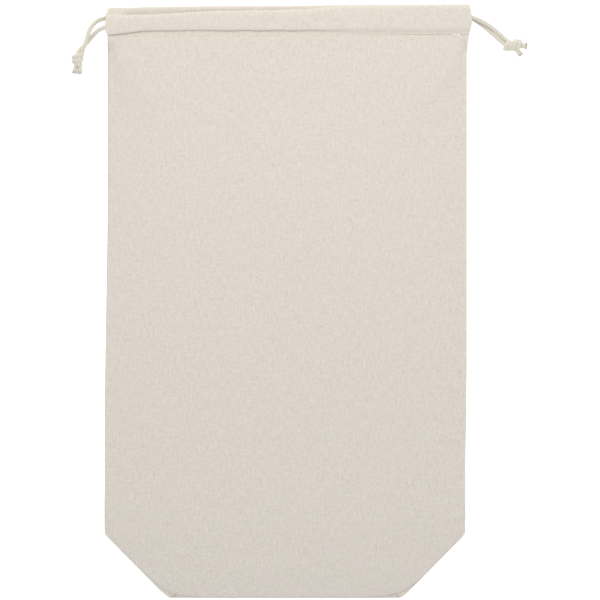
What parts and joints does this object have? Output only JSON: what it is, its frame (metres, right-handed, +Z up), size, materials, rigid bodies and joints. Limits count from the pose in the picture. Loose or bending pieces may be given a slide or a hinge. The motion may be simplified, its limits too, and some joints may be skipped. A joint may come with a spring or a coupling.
{
  "type": "laundry bag",
  "caption": "Flat cotton laundry bag with cut bottom corners, a turned casing at the mouth and a double drawstring knotted at each side.",
  "frame": {"origin": "on the surface the bag lies on, under the middle of the bag without its cords", "axes": "+Y along the bag towards its mouth, +X to the right seen from the front panel's side, +Z up through the front panel"},
  "size_m": [0.4482, 0.585, 0.016],
  "materials": {
    "natural_cotton": "matte unbleached plain weave",
    "sewing_thread": "matte cream thread",
    "cotton_cord": "soft twisted cotton"
  },
  "bodies": {
    "bag": {"front_panel": "natural_cotton", "back_panel": "natural_cotton", "left_side_seam": "sewing_thread", "left_corner_seam": "sewing_thread", "bottom_seam": "sewing_thread", "right_corner_seam": "sewing_thread", "right_side_seam": "sewing_thread", "front_casing_stitch": "sewing_thread", "back_casing_stitch": "sewing_thread", "front_casing_tack": "sewing_thread", "back_casing_tack": "sewing_thread"},
    "left_cord": {"left_drawcord": "cotton_cord", "left_knot": "cotton_cord", "left_front_end": "cotton_cord", "left_back_end": "cotton_cord"},
    "right_cord": {"right_drawcord": "cotton_cord", "right_knot": "cotton_cord", "right_front_end": "cotton_cord", "right_back_end": "cotton_cord"}
  },
  "joints": [
    {"name": "left_cord_pull", "type": "slide", "parent": "bag", "child": "left_cord", "axis": [-1, 0, 0], "range_m": [0, 0.145], "deforming": ["front_panel", "back_panel", "left_side_seam", "right_side_seam", "front_casing_stitch", "back_casing_stitch", "front_casing_tack", "back_casing_tack"]},
    {"name": "right_cord_pull", "type": "slide", "parent": "bag", "child": "right_cord", "axis": [1, 0, 0], "range_m": [0, 0.145], "deforming": ["front_panel", "back_panel", "left_side_seam", "right_side_seam", "front_casing_stitch", "back_casing_stitch", "front_casing_tack", "back_casing_tack"]}
  ]
}
